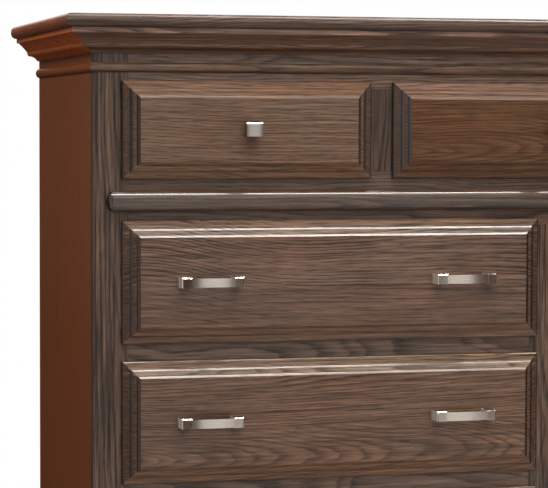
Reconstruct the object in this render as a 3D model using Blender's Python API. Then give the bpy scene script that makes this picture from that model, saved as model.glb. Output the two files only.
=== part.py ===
# Dresser: three drawers in the top row above two columns of wide drawers
# +X is the viewer's right, the front faces -Y, and Z = 0 is the floor
import math

import bmesh
import bpy
from mathutils import Matrix, Vector

# Case
HEIGHT = 0.970
CASE_WIDTH = 1.360
CASE_DEPTH = 0.476
BOARD = 0.019
BACK_THICKNESS = 0.006
GAP = 0.0003

# Top slab
TOP_THICKNESS = 0.019
TOP_OVERHANG = 0.045
TOP_ROUND = 0.008
TOP_ROUND_SHARE = 0.45

# Crown moulding, from the slab down
CROWN_REACH = 0.036
CROWN_FILLET = 0.007
CROWN_QUIRK = 0.003
COVE_DROP = 0.0145
COVE_RUN = 0.0138
COVE_HOLLOW = 0.0005
ROLL_HEIGHT = 0.006
ROLL_BULGE = 0.0011
ROLL_RUN = 0.0032
CROWN_HEIGHT = 0.035
CROWN_FOOT = 0.003
FOOT_HOLLOW = 0.0018
MITRE_CLEARANCE = 0.0002

# Frieze and bead
FRIEZE_HEIGHT = 0.0125
BEAD_HEIGHT = 0.014
BEAD_REACH = 0.0055
BEAD_FLAT = 0.0012

# Heights of the front, from the bead down
TOP_REVEAL = 0.012
TOP_FRONT_HEIGHT = 0.138
WAIST_REVEAL = 0.0587
ROW_REVEAL = 0.024
BASE_REVEAL = 0.0153
BASE_HEIGHT = 0.094
ROW_NAMES = ("upper", "middle", "lower")

# Widths of the front
STILE_REVEAL = 0.040
MULLION_REVEAL = 0.0333
CENTER_REVEAL = 0.0355
SIDE_FRONT_WIDTH = 0.365
LIP = 0.0095

# Waist moulding
WAIST_HEIGHT = 0.031
WAIST_DROP = 0.0153
WAIST_FLAT = 0.0065
WAIST_BULGE = 0.0145
WAIST_END = 0.019
WAIST_END_ROUND = 0.012
WAIST_CORNER_ROUND = 0.0145
WAIST_CORNER_SHARE = 0.48

# Drawer front profile, from the outer edge to the field
EDGE_HEIGHT = 0.0062
EDGE_ROUND = 0.0018
OUTER_BAND = 0.0082
OUTER_BAND_RISE = 0.0028
STEP_RUN = 0.0034
STEP_RISE = 0.0040
INNER_BAND = 0.0058
INNER_BAND_RISE = 0.0020
FIELD_RUN = 0.0045
FRONT_PROUD = 0.0215
STEP_BULGE = 0.0008

# Drawer boxes and the panels that carry them
BOX_WALL = 0.012
BOX_BOTTOM = 0.006
BOX_BOTTOM_RAISE = 0.010
BOX_HEADROOM = 0.014
BOX_SIDE_CLEARANCE = 0.003
BOX_BACK_CLEARANCE = 0.015
GUIDE_CLEARANCE = 0.0008
GUIDE_HEIGHT = 0.010
DUST_PANEL = 0.016
RAIL_TENON = 0.004

# Base with bracket feet
BASE_THICKNESS = 0.018
BASE_MOULD_HEIGHT = 0.018
BASE_MOULD_TOP = 0.004
BASE_MOULD_BULGE = 0.003
FRONT_FOOT_WIDTH = 0.140
SIDE_FOOT_WIDTH = 0.110
ARCH_HEIGHT = 0.052
BRACKET_RUN = 0.045
BRACKET_BULGE = 0.010
RAIL_ABOVE_ARCH = 0.008

# Pulls
PULL_CENTERS = 0.076
PULL_FOOT_WIDTH = 0.014
PULL_FOOT_HEIGHT = 0.0144
PULL_BAR_HEIGHT = 0.0128
PULL_BAR_THICKNESS = 0.0042
PULL_FOOT_PROUD = 0.0240
PULL_BOW = 0.0055
PULL_SPACING = 0.377

# Knobs
KNOB_WIDTH = 0.0236
KNOB_HEIGHT = 0.0224
KNOB_PROUD = 0.0250
KNOB_BOW = 0.0016
KNOB_HEAD = 0.0150
KNOB_SHOULDER = 0.0030
KNOB_EDGE_ROUND = 0.0026
KNOB_NECK_RADIUS = 0.0055
KNOB_SEAT_RADIUS = 0.0075

# Height of the pulls and knobs above the middle of their drawer fronts
HANDLE_RAISE = 0.0012

# Segments of the round stretches
ARC_STEPS = 6
STEP_STEPS = 3
BOW_STEPS = 12
NECK_SIDES = 20
SHARP_ANGLE = math.radians(35)
# Rise of a quarter circle above its chord, as a share of its radius
QUARTER_BULGE = 1 - math.sqrt(0.5)
CUT_MARGIN = 0.010

# Places worked out from the sizes above
HALF_CASE = CASE_WIDTH / 2
PULL_REACH = FRONT_PROUD + PULL_FOOT_PROUD + PULL_BOW
FRONT_REACH = max(TOP_OVERHANG, PULL_REACH, FRONT_PROUD + KNOB_PROUD)
FRONT_Y = -(CASE_DEPTH + FRONT_REACH) / 2 + FRONT_REACH
BACK_Y = FRONT_Y + CASE_DEPTH
FRAME_BACK_Y = FRONT_Y + BOARD
BACK_PANEL_Y = BACK_Y - BACK_THICKNESS
INNER_X = HALF_CASE - BOARD
SLAB_Z = HEIGHT - TOP_THICKNESS
BEAD_Z = SLAB_Z - CROWN_HEIGHT - FRIEZE_HEIGHT
TOP_ROW_Z = BEAD_Z - BEAD_HEIGHT - TOP_REVEAL
WIDE_ROWS_Z = TOP_ROW_Z - TOP_FRONT_HEIGHT - WAIST_REVEAL
LAST_FRONT_Z = BASE_HEIGHT + BASE_REVEAL
ROW_PITCH = (WIDE_ROWS_Z + ROW_REVEAL - LAST_FRONT_Z) / len(ROW_NAMES)
WIDE_FRONT_HEIGHT = ROW_PITCH - ROW_REVEAL
STILE_WIDTH = STILE_REVEAL + LIP
MULLION_WIDTH = MULLION_REVEAL + 2 * LIP
CENTER_WIDTH = CENTER_REVEAL + 2 * LIP
MULLION_X = HALF_CASE - STILE_REVEAL - SIDE_FRONT_WIDTH - MULLION_REVEAL / 2
MIDDLE_FRONT_WIDTH = 2 * MULLION_X - MULLION_REVEAL
WIDE_FRONT_WIDTH = HALF_CASE - STILE_REVEAL - CENTER_REVEAL / 2
SIDE_FRONT_X = MULLION_X + MULLION_REVEAL / 2 + SIDE_FRONT_WIDTH / 2
WIDE_FRONT_X = CENTER_REVEAL / 2 + WIDE_FRONT_WIDTH / 2
PULL_LENGTH = PULL_CENTERS + PULL_FOOT_WIDTH


def clear_scene():
    for old in list(bpy.data.objects):
        bpy.data.objects.remove(old, do_unlink=True)


def new_collection(name):
    group = bpy.data.collections.new(name)
    bpy.context.scene.collection.children.link(group)
    return group


def new_material(name, color, roughness, metallic=0.0):
    material = bpy.data.materials.new(name)
    material.use_nodes = True
    shader = material.node_tree.nodes["Principled BSDF"]
    shader.inputs["Base Color"].default_value = (*color, 1.0)
    shader.inputs["Roughness"].default_value = roughness
    shader.inputs["Metallic"].default_value = metallic
    return material


def bowed(start, end, bulge, steps=ARC_STEPS):
    # Points after start, up to end, on an arc that swells to the left of the way from start to end
    start = Vector(start)
    chord = Vector(end) - start
    half = chord.length / 2
    across = Vector((-chord.y, chord.x)).normalized()
    turn = 2 * math.atan(bulge / half)
    radius = half / math.sin(turn)
    points = []
    for step in range(1, steps + 1):
        angle = -turn + 2 * turn * step / steps
        along = half + radius * math.sin(angle)
        rise = radius * (math.cos(angle) - math.cos(turn))
        points.append(tuple(start + chord.normalized() * along + across * rise))
    return points


def rounded_outline(half, low, high, radius):
    # Upright rectangle with rounded corners
    bulge = -radius * QUARTER_BULGE
    points = [(half - radius, low)]
    points += bowed(points[-1], (half, low + radius), bulge)
    points += [(half, high - radius)]
    points += bowed(points[-1], (half - radius, high), bulge)
    points += [(radius - half, high)]
    points += bowed(points[-1], (-half, high - radius), bulge)
    points += [(-half, low + radius)]
    points += bowed(points[-1], (radius - half, low), bulge)
    return points[:-1]


def shade(mesh):
    mesh.shade_smooth()
    mesh.set_sharp_from_angle(angle=SHARP_ANGLE)


def box_mesh(size):
    mesh = bpy.data.meshes.new("box")
    bm = bmesh.new()
    bmesh.ops.create_cube(bm, size=1.0)
    bmesh.ops.scale(bm, vec=Vector(size), verts=bm.verts)
    bm.to_mesh(mesh)
    bm.free()
    return mesh


def outline_mesh(points, depth):
    # Closed outline in local XY, extruded evenly along local Z
    curve = bpy.data.curves.new("outline", "CURVE")
    curve.dimensions = "2D"
    curve.fill_mode = "BOTH"
    curve.extrude = depth / 2
    spline = curve.splines.new("POLY")
    spline.points.add(len(points) - 1)
    for point, place in zip(spline.points, points):
        point.co = (place[0], place[1], 0.0, 1.0)
    spline.use_cyclic_u = True
    holder = bpy.data.objects.new("outline", curve)
    bpy.context.scene.collection.objects.link(holder)
    evaluated = holder.evaluated_get(bpy.context.evaluated_depsgraph_get())
    mesh = bpy.data.meshes.new_from_object(evaluated)
    bpy.data.objects.remove(holder)
    bpy.data.curves.remove(curve)
    bm = bmesh.new()
    bm.from_mesh(mesh)
    bmesh.ops.remove_doubles(bm, verts=bm.verts, dist=1e-6)
    bmesh.ops.recalc_face_normals(bm, faces=bm.faces)
    bm.to_mesh(mesh)
    bm.free()
    return mesh


def axes(across, up, origin):
    # Frame whose local X and Y run along two world directions
    across = Vector(across)
    up = Vector(up)
    frame = Matrix((across, up, across.cross(up))).transposed().to_4x4()
    frame.translation = Vector(origin)
    return frame


def add_part(name, mesh, material, frame, parent=None):
    shade(mesh)
    mesh.name = name
    mesh.materials.clear()
    mesh.materials.append(material)
    part = bpy.data.objects.new(name, mesh)
    part_group.objects.link(part)
    part.parent = parent
    part.matrix_local = frame
    return part


def add_board(name, low, high, material, parent=None):
    low = Vector(low)
    high = Vector(high)
    place = Matrix.Translation((low + high) / 2)
    return add_part(name, box_mesh(high - low), material, place, parent)


def add_cutter(name, mesh, frame, parent=None):
    cutter = bpy.data.objects.new(name, mesh)
    cutter_group.objects.link(cutter)
    cutter.parent = parent
    cutter.matrix_local = frame
    cutter.hide_render = True
    cutter.display_type = "WIRE"
    return cutter


def boolean(part, cutter, operation="DIFFERENCE"):
    step = part.modifiers.new(cutter.name, "BOOLEAN")
    step.operation = operation
    step.object = cutter
    step.solver = "EXACT"


def build_top():
    mesh = box_mesh((CASE_WIDTH + 2 * TOP_OVERHANG, CASE_DEPTH + TOP_OVERHANG, TOP_THICKNESS))
    bm = bmesh.new()
    bm.from_mesh(mesh)
    back = (CASE_DEPTH + TOP_OVERHANG) / 2
    rounded = []
    for edge in bm.edges:
        start, end = (vert.co for vert in edge.verts)
        upright = abs(start.z - end.z) > TOP_THICKNESS / 2
        at_back = min(start.y, end.y) > back / 2
        if not upright and not at_back:
            rounded.append(edge)
    radius = min(TOP_ROUND, TOP_ROUND_SHARE * TOP_THICKNESS)
    bmesh.ops.bevel(bm, geom=rounded, offset=radius, segments=ARC_STEPS, profile=0.5, affect="EDGES")
    bm.to_mesh(mesh)
    bm.free()
    middle = ((FRONT_Y - TOP_OVERHANG) + BACK_Y) / 2
    add_part("top", mesh, front_oak, Matrix.Translation((0, middle, HEIGHT - TOP_THICKNESS / 2)))


def crown_outline():
    fillet_z = -CROWN_FILLET
    roll_z = fillet_z - COVE_DROP
    foot_z = roll_z - ROLL_HEIGHT
    cove_x = CROWN_REACH - CROWN_QUIRK
    roll_x = cove_x - COVE_RUN
    foot_x = roll_x - ROLL_RUN
    points = [(GAP, -GAP), (CROWN_REACH, -GAP), (CROWN_REACH, fillet_z), (cove_x, fillet_z)]
    points += bowed((cove_x, fillet_z), (roll_x, roll_z), -COVE_HOLLOW)
    points += bowed((roll_x, roll_z), (foot_x, foot_z), ROLL_BULGE)
    points += [(foot_x - ROLL_BULGE, foot_z)]
    points += bowed((foot_x - ROLL_BULGE, foot_z), (CROWN_FOOT, -CROWN_HEIGHT), -FOOT_HOLLOW)
    points += [(GAP, -CROWN_HEIGHT)]
    return points


def bead_outline():
    points = [(GAP, -BEAD_HEIGHT), (GAP, 0), (BEAD_FLAT, 0)]
    points += bowed((BEAD_FLAT, 0), (BEAD_FLAT, -BEAD_HEIGHT), BEAD_REACH - BEAD_FLAT, BOW_STEPS)
    return points


def base_outline():
    shoulder = BASE_HEIGHT - BASE_MOULD_HEIGHT
    middle = ((BASE_THICKNESS + BASE_MOULD_TOP) / 2, shoulder + BASE_MOULD_HEIGHT / 2)
    points = [(GAP, BASE_HEIGHT), (GAP, 0), (BASE_THICKNESS, 0), (BASE_THICKNESS, shoulder)]
    points += bowed((BASE_THICKNESS, shoulder), middle, -BASE_MOULD_BULGE)
    points += bowed(middle, (BASE_MOULD_TOP, BASE_HEIGHT), BASE_MOULD_BULGE)
    return points


def add_front_run(name, outline, z, material):
    mesh = outline_mesh(outline, CASE_WIDTH)
    for vert in mesh.vertices:
        end = HALF_CASE + vert.co.x - MITRE_CLEARANCE
        vert.co.z = math.copysign(end, vert.co.z)
    return add_part(name, mesh, material, axes((0, -1, 0), (0, 0, 1), (0, FRONT_Y, z)))


def add_side_run(name, outline, z, side, material):
    # side is -1 on the left and 1 on the right; local Z runs back on the left and forward on the right
    mesh = outline_mesh(outline, CASE_DEPTH)
    for vert in mesh.vertices:
        at_front = vert.co.z * side > 0
        reach_y = vert.co.x - MITRE_CLEARANCE
        vert.co.z = side * (reach_y if at_front else -CASE_DEPTH)
    return add_part(name, mesh, material, axes((side, 0, 0), (0, 0, 1), (side * HALF_CASE, FRONT_Y, z)))


def build_mouldings():
    for kind, outline, z in (("crown", crown_outline(), SLAB_Z), ("bead", bead_outline(), BEAD_Z)):
        add_front_run(kind + "_front", outline, z, front_oak)
        add_side_run(kind + "_left", outline, z, -1, side_oak)
        add_side_run(kind + "_right", outline, z, 1, side_oak)


def build_waist_moulding():
    # Half-round section along X, trimmed to a plan and a front view with rounded ends
    half = HALF_CASE - WAIST_END
    reach = WAIST_FLAT + WAIST_BULGE
    section = [(GAP, -WAIST_HEIGHT), (GAP, 0), (WAIST_FLAT, 0)]
    section += bowed((WAIST_FLAT, 0), (WAIST_FLAT, -WAIST_HEIGHT), WAIST_BULGE, BOW_STEPS)
    z = TOP_ROW_Z - TOP_FRONT_HEIGHT - WAIST_DROP
    along = axes((0, -1, 0), (0, 0, 1), (0, FRONT_Y, z))
    waist = add_part("waist_moulding", outline_mesh(section, 2 * half), front_oak, along)
    turn = WAIST_END_ROUND * QUARTER_BULGE
    plan = [(-half, 0), (half, 0), (half, reach - WAIST_END_ROUND)]
    plan += bowed((half, reach - WAIST_END_ROUND), (half - WAIST_END_ROUND, reach), -turn)
    plan += [(WAIST_END_ROUND - half, reach)]
    plan += bowed((WAIST_END_ROUND - half, reach), (-half, reach - WAIST_END_ROUND), -turn)
    frame = axes((-1, 0, 0), (0, -1, 0), (0, FRONT_Y, z - WAIST_HEIGHT / 2))
    trim = add_cutter("waist_plan", outline_mesh(plan, WAIST_HEIGHT + CUT_MARGIN), frame)
    boolean(waist, trim, "INTERSECT")
    corner = min(WAIST_CORNER_ROUND, WAIST_CORNER_SHARE * WAIST_HEIGHT)
    view = rounded_outline(half, -WAIST_HEIGHT, 0, corner)
    frame = axes((1, 0, 0), (0, 0, 1), (0, FRONT_Y - reach / 2, z))
    trim = add_cutter("waist_view", outline_mesh(view, reach + 2 * CUT_MARGIN), frame)
    boolean(waist, trim, "INTERSECT")


def build_face_frame():
    top = SLAB_Z - GAP
    for side, name in ((-1, "left_stile"), (1, "right_stile")):
        outer = side * HALF_CASE
        inner = side * (HALF_CASE - STILE_WIDTH)
        add_board(name, (min(outer, inner), FRONT_Y, 0), (max(outer, inner), FRAME_BACK_Y, top), front_oak)
    rail_x = HALF_CASE - STILE_WIDTH - GAP
    waist_top = TOP_ROW_Z - TOP_FRONT_HEIGHT + LIP
    waist_low = WIDE_ROWS_Z - LIP
    top_low = TOP_ROW_Z - LIP
    bottom_top = LAST_FRONT_Z + LIP
    rails = (
        ("top_rail", top_low, top),
        ("waist_rail", waist_low, waist_top),
        ("bottom_rail", ARCH_HEIGHT + RAIL_ABOVE_ARCH, bottom_top),
    )
    for name, low, high in rails:
        add_board(name, (-rail_x, FRONT_Y, low), (rail_x, FRAME_BACK_Y, high), front_oak)
    for side, name in ((-1, "mullion_left"), (1, "mullion_right")):
        left = side * MULLION_X - MULLION_WIDTH / 2
        low = (left, FRONT_Y, waist_top + GAP)
        add_board(name, low, (left + MULLION_WIDTH, FRAME_BACK_Y, top_low - GAP), front_oak)
    low = (-CENTER_WIDTH / 2, FRONT_Y, bottom_top + GAP)
    add_board("center_stile", low, (CENTER_WIDTH / 2, FRAME_BACK_Y, waist_low - GAP), front_oak)


def bracket_outline(half_span):
    # Foot-to-foot opening with curved brackets, a little below the floor at its open side
    foot = (half_span, 0)
    shoulder = (half_span - BRACKET_RUN, ARCH_HEIGHT)
    points = [(-half_span, -CUT_MARGIN), (half_span, -CUT_MARGIN), foot]
    points += bowed(foot, shoulder, -BRACKET_BULGE)
    points += [(-shoulder[0], shoulder[1])]
    points += bowed((-shoulder[0], shoulder[1]), (-half_span, 0), -BRACKET_BULGE)
    return points


def build_sides_and_base():
    front = add_front_run("base_front", base_outline(), 0, front_oak)
    plan = outline_mesh(bracket_outline(HALF_CASE - FRONT_FOOT_WIDTH), BASE_THICKNESS + 2 * CUT_MARGIN)
    frame = axes((1, 0, 0), (0, 0, 1), (0, FRONT_Y - BASE_THICKNESS / 2, 0))
    boolean(front, add_cutter("front_arch", plan, frame))
    through = BASE_THICKNESS + BOARD + 2 * CUT_MARGIN
    for side, word in ((-1, "left"), (1, "right")):
        outer = side * HALF_CASE
        inner = side * INNER_X
        low = (min(outer, inner), FRAME_BACK_Y + GAP, 0)
        panel = add_board(word + "_side", low, (max(outer, inner), BACK_Y, SLAB_Z - GAP), side_oak)
        skirt = add_side_run("base_" + word, base_outline(), 0, side, side_oak)
        arch = outline_mesh(bracket_outline(CASE_DEPTH / 2 - SIDE_FOOT_WIDTH), through)
        middle = side * (HALF_CASE + (BASE_THICKNESS - BOARD) / 2)
        frame = axes((0, 1, 0), (0, 0, 1), (middle, (FRONT_Y + BACK_Y) / 2, 0))
        cutter = add_cutter(word + "_arch", arch, frame)
        boolean(panel, cutter)
        boolean(skirt, cutter)


def build_back():
    low = (GAP - INNER_X, BACK_PANEL_Y, LAST_FRONT_Z + LIP - DUST_PANEL)
    add_board("back_panel", low, (INNER_X - GAP, BACK_Y, SLAB_Z - GAP), back_ply)


def box_span(center, front_width):
    half = front_width / 2 - LIP - BOX_SIDE_CLEARANCE
    return (center - half, center + half)


def panel_outline(spans):
    # Panel section with guide strips filling the spaces beside the drawer boxes
    edge = INNER_X - GAP
    points = [(-edge, -DUST_PANEL), (edge, -DUST_PANEL)]
    right = edge
    for left, end in reversed(spans):
        strip = end + GUIDE_CLEARANCE
        points += [(right, GUIDE_HEIGHT), (strip, GUIDE_HEIGHT), (strip, 0), (left - GUIDE_CLEARANCE, 0)]
        right = left - GUIDE_CLEARANCE
    points += [(right, GUIDE_HEIGHT), (-edge, GUIDE_HEIGHT)]
    return points


def add_panel(name, spans, runner_z, material):
    front = FRAME_BACK_Y + GAP
    back = BACK_PANEL_Y - GAP
    frame = axes((1, 0, 0), (0, 0, 1), (0, (front + back) / 2, runner_z))
    return add_part(name, outline_mesh(panel_outline(spans), back - front), material, frame)


def build_dust_panels():
    top_spans = [
        box_span(-SIDE_FRONT_X, SIDE_FRONT_WIDTH),
        box_span(0, MIDDLE_FRONT_WIDTH),
        box_span(SIDE_FRONT_X, SIDE_FRONT_WIDTH),
    ]
    wide_spans = [box_span(side * WIDE_FRONT_X, WIDE_FRONT_WIDTH) for side in (-1, 1)]
    add_panel("waist_dust_panel", top_spans, TOP_ROW_Z - TOP_FRONT_HEIGHT + LIP, drawer_maple)
    add_panel("case_bottom", wide_spans, LAST_FRONT_Z + LIP, drawer_maple)
    # Between the wide rows, the front edge of each panel is the divider rail seen on either side of the stile
    for row, name in enumerate(ROW_NAMES[:-1]):
        front_low = WIDE_ROWS_Z - row * ROW_PITCH - WIDE_FRONT_HEIGHT
        runner_z = front_low + LIP
        panel = add_panel(name + "_divider", wide_spans, runner_z, front_oak)
        rail_low = front_low - ROW_REVEAL - LIP
        outer = HALF_CASE - STILE_WIDTH - GAP
        inner = CENTER_WIDTH / 2 + GAP
        depth = BOARD + RAIL_TENON
        for side in (-1, 1):
            rail = box_mesh((outer - inner, depth, runner_z - rail_low))
            center = (side * (outer + inner) / 2, FRONT_Y + depth / 2, (runner_z + rail_low) / 2)
            word = "_rail_left" if side < 0 else "_rail_right"
            boolean(panel, add_cutter(name + word, rail, Matrix.Translation(center)), "UNION")


def front_profile():
    # Inset from the outer edge and height above the face frame, from the edge to the field
    points = [(0.0, EDGE_HEIGHT)]
    edge_top = (EDGE_ROUND, EDGE_HEIGHT + EDGE_ROUND)
    points += bowed(points[-1], edge_top, EDGE_ROUND * QUARTER_BULGE, STEP_STEPS)
    outer = (edge_top[0] + OUTER_BAND, edge_top[1] + OUTER_BAND_RISE)
    points += [outer]
    step = (outer[0] + STEP_RUN, outer[1] + STEP_RISE)
    points += bowed(outer, step, STEP_BULGE, STEP_STEPS)
    inner = (step[0] + INNER_BAND, step[1] + INNER_BAND_RISE)
    points += [inner]
    points += bowed(inner, (inner[0] + FIELD_RUN, FRONT_PROUD), STEP_BULGE, STEP_STEPS)
    return points


def build_front(name, width, height, empty):
    mesh = bpy.data.meshes.new(name)
    bm = bmesh.new()
    bmesh.ops.create_cube(bm, size=1.0)
    bmesh.ops.scale(bm, vec=Vector((width, EDGE_HEIGHT - GAP, height)), verts=bm.verts)
    bmesh.ops.translate(bm, vec=Vector((0, -(EDGE_HEIGHT + GAP) / 2, 0)), verts=bm.verts)
    face = min(bm.faces, key=lambda item: item.calc_center_median().y)
    profile = front_profile()
    for before, after in zip(profile, profile[1:]):
        bmesh.ops.inset_region(
            bm, faces=[face], thickness=after[0] - before[0], depth=after[1] - before[1],
            use_even_offset=True, use_boundary=True)
    bm.to_mesh(mesh)
    bm.free()
    add_part(name, mesh, front_oak, Matrix.Identity(4), empty)


def build_box(name, front_width, front_height, empty):
    span = box_span(0, front_width)
    bottom = LIP - front_height / 2 + GAP
    top = front_height / 2 - LIP - BOX_HEADROOM
    length = BACK_PANEL_Y - FRONT_Y - BOX_BACK_CLEARANCE
    box = add_board(name, (span[0], 0, bottom), (span[1], length, top), drawer_maple, empty)
    inside = (span[1] - span[0] - 2 * BOX_WALL, length - 2 * BOX_WALL)
    floor = bottom + BOX_BOTTOM_RAISE + BOX_BOTTOM
    cuts = (
        ("_inside", floor, top + CUT_MARGIN),
        ("_underside", bottom - CUT_MARGIN, bottom + BOX_BOTTOM_RAISE),
    )
    for word, low, high in cuts:
        mesh = box_mesh((inside[0], inside[1], high - low))
        place = Matrix.Translation((0, length / 2, (low + high) / 2))
        boolean(box, add_cutter(name + word, mesh, place, empty))


def pull_outline():
    half = PULL_LENGTH / 2
    inner = half - PULL_FOOT_WIDTH
    inside = PULL_FOOT_PROUD - PULL_BAR_THICKNESS
    points = [(-half, GAP), (-inner, GAP), (-inner, inside)]
    points += bowed((-inner, inside), (inner, inside), PULL_BOW, BOW_STEPS)
    points += [(inner, GAP), (half, GAP), (half, PULL_FOOT_PROUD)]
    points += bowed((half, PULL_FOOT_PROUD), (-half, PULL_FOOT_PROUD), -PULL_BOW, BOW_STEPS)
    return points


def build_pull(name, x, empty):
    # Plan outline of feet and bowed bar, with the bar made lower than the feet
    frame = axes((1, 0, 0), (0, -1, 0), (x, -FRONT_PROUD, HANDLE_RAISE))
    pull = add_part(name, outline_mesh(pull_outline(), PULL_FOOT_HEIGHT), nickel, frame, empty)
    sink = (PULL_FOOT_HEIGHT - PULL_BAR_HEIGHT) / 2
    size = (PULL_CENTERS - PULL_FOOT_WIDTH, PULL_FOOT_PROUD + PULL_BOW + CUT_MARGIN, sink + CUT_MARGIN)
    for word, side in (("_over", 1), ("_under", -1)):
        z = HANDLE_RAISE + side * (PULL_BAR_HEIGHT / 2 + size[2] / 2)
        place = Matrix.Translation((x, -FRONT_PROUD - size[1] / 2, z))
        boolean(pull, add_cutter(name + word, box_mesh(size), place, empty))


def knob_outline():
    half = KNOB_WIDTH / 2
    back = KNOB_PROUD - KNOB_HEAD
    edge = KNOB_PROUD - KNOB_BOW
    shoulder = half - KNOB_SHOULDER
    points = [(-shoulder, back), (shoulder, back), (half, back + KNOB_SHOULDER), (half, edge)]
    points += bowed((half, edge), (-half, edge), -KNOB_BOW, BOW_STEPS)
    points += [(-half, back + KNOB_SHOULDER)]
    return points


def knob_section():
    # Side view of the head, with its front edges rounded above and below
    half = KNOB_HEIGHT / 2
    flat = KNOB_PROUD - KNOB_EDGE_ROUND
    level = half - KNOB_EDGE_ROUND
    bulge = -KNOB_EDGE_ROUND * QUARTER_BULGE
    points = [(0, half), (0, -half), (flat, -half)]
    points += bowed((flat, -half), (KNOB_PROUD, -level), bulge)
    points += [(KNOB_PROUD, level)]
    points += bowed((KNOB_PROUD, level), (flat, half), bulge)
    return points


def build_knob(name, empty):
    frame = axes((1, 0, 0), (0, -1, 0), (0, -FRONT_PROUD, HANDLE_RAISE))
    knob = add_part(name, outline_mesh(knob_outline(), KNOB_HEIGHT), nickel, frame, empty)
    frame = axes((0, -1, 0), (0, 0, 1), (0, -FRONT_PROUD, HANDLE_RAISE))
    section = outline_mesh(knob_section(), KNOB_WIDTH + 2 * CUT_MARGIN)
    boolean(knob, add_cutter(name + "_section", section, frame, empty), "INTERSECT")
    length = KNOB_PROUD - KNOB_HEAD / 2 - GAP
    mesh = bpy.data.meshes.new(name + "_neck")
    bm = bmesh.new()
    bmesh.ops.create_cone(
        bm, cap_ends=True, segments=NECK_SIDES, radius1=KNOB_SEAT_RADIUS, radius2=KNOB_NECK_RADIUS,
        depth=length)
    bm.to_mesh(mesh)
    bm.free()
    place = axes((1, 0, 0), (0, 0, 1), (0, -FRONT_PROUD - GAP - length / 2, HANDLE_RAISE))
    boolean(knob, add_cutter(name + "_neck", mesh, place, empty), "UNION")


def add_empty(name, x, z):
    empty = bpy.data.objects.new(name, None)
    part_group.objects.link(empty)
    empty.location = (x, FRONT_Y, z)
    return empty


def build_top_row():
    z = TOP_ROW_Z - TOP_FRONT_HEIGHT / 2
    places = (
        ("top_left", -SIDE_FRONT_X, SIDE_FRONT_WIDTH),
        ("top_middle", 0.0, MIDDLE_FRONT_WIDTH),
        ("top_right", SIDE_FRONT_X, SIDE_FRONT_WIDTH),
    )
    for name, x, width in places:
        empty = add_empty(name + "_drawer", x, z)
        build_front(name + "_front", width, TOP_FRONT_HEIGHT, empty)
        build_box(name + "_box", width, TOP_FRONT_HEIGHT, empty)
        build_knob(name + "_knob", empty)


def build_wide_rows():
    for row, word in enumerate(ROW_NAMES):
        z = WIDE_ROWS_Z - row * ROW_PITCH - WIDE_FRONT_HEIGHT / 2
        for side, column in ((-1, "left"), (1, "right")):
            name = word + "_" + column
            empty = add_empty(name + "_drawer", side * WIDE_FRONT_X, z)
            build_front(name + "_front", WIDE_FRONT_WIDTH, WIDE_FRONT_HEIGHT, empty)
            build_box(name + "_box", WIDE_FRONT_WIDTH, WIDE_FRONT_HEIGHT, empty)
            build_pull(name + "_outer_pull", side * PULL_SPACING / 2, empty)
            build_pull(name + "_inner_pull", -side * PULL_SPACING / 2, empty)


clear_scene()
part_group = new_collection("dresser")
cutter_group = new_collection("cutters")
front_oak = new_material("stained_oak", (0.118, 0.080, 0.058), 0.42)
side_oak = new_material("stained_oak_side", (0.115, 0.034, 0.016), 0.45)
drawer_maple = new_material("drawer_maple", (0.62, 0.45, 0.28), 0.50)
back_ply = new_material("back_plywood", (0.30, 0.19, 0.11), 0.60)
nickel = new_material("brushed_nickel", (0.62, 0.60, 0.56), 0.30, 1.0)
build_top()
build_mouldings()
build_waist_moulding()
build_face_frame()
build_sides_and_base()
build_back()
build_dust_panels()
build_top_row()
build_wide_rows()
print("dresser:", len([item for item in part_group.objects if item.type == "MESH"]), "pieces")
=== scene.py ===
import math

import bmesh
import bpy
from mathutils import Matrix, Vector


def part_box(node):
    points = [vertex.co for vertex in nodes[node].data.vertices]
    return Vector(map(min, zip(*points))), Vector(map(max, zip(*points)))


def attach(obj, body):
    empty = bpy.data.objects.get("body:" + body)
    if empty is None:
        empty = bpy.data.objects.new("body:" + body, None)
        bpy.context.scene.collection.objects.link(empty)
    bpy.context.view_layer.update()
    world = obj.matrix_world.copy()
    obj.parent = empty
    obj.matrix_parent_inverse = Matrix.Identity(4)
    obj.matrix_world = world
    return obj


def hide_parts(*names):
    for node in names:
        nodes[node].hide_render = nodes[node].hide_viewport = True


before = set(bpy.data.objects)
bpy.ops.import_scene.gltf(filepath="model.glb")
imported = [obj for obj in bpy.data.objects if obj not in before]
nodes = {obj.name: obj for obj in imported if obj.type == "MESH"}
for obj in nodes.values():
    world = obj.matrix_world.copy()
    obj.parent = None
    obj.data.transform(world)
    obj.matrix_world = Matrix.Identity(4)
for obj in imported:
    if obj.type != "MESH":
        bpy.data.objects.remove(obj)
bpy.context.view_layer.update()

scene = bpy.context.scene
print("frame loaded:", len(nodes), "nodes")


# camera with zero shift, fitted to the photograph's edges
cameraSetup = {
    "place": (-1.27655, -3.48231, 0.81772),
    "yaw": 14.717,      # degrees to the right of straight at the front
    "pitch": 2.909,     # degrees down
    "roll": 0.160,
    "lens": 155.36,
    "sensor": 36,
    "clip": (0.05, 60),
}


def makeCamera(setup):
    data = bpy.data.cameras.new("camera")
    data.lens = setup["lens"]
    data.sensor_width = setup["sensor"]
    data.clip_start, data.clip_end = setup["clip"]
    camera = bpy.data.objects.new("camera", data)
    scene.collection.objects.link(camera)
    turn = Matrix.Rotation(math.radians(-setup["yaw"]), 4, "Z")
    tip = Matrix.Rotation(math.radians(90 - setup["pitch"]), 4, "X")
    roll = Matrix.Rotation(math.radians(setup["roll"]), 4, "Z")
    camera.matrix_world = Matrix.Translation(setup["place"]) @ turn @ tip @ roll
    scene.camera = camera


makeCamera(cameraSetup)
print("camera set")


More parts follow.
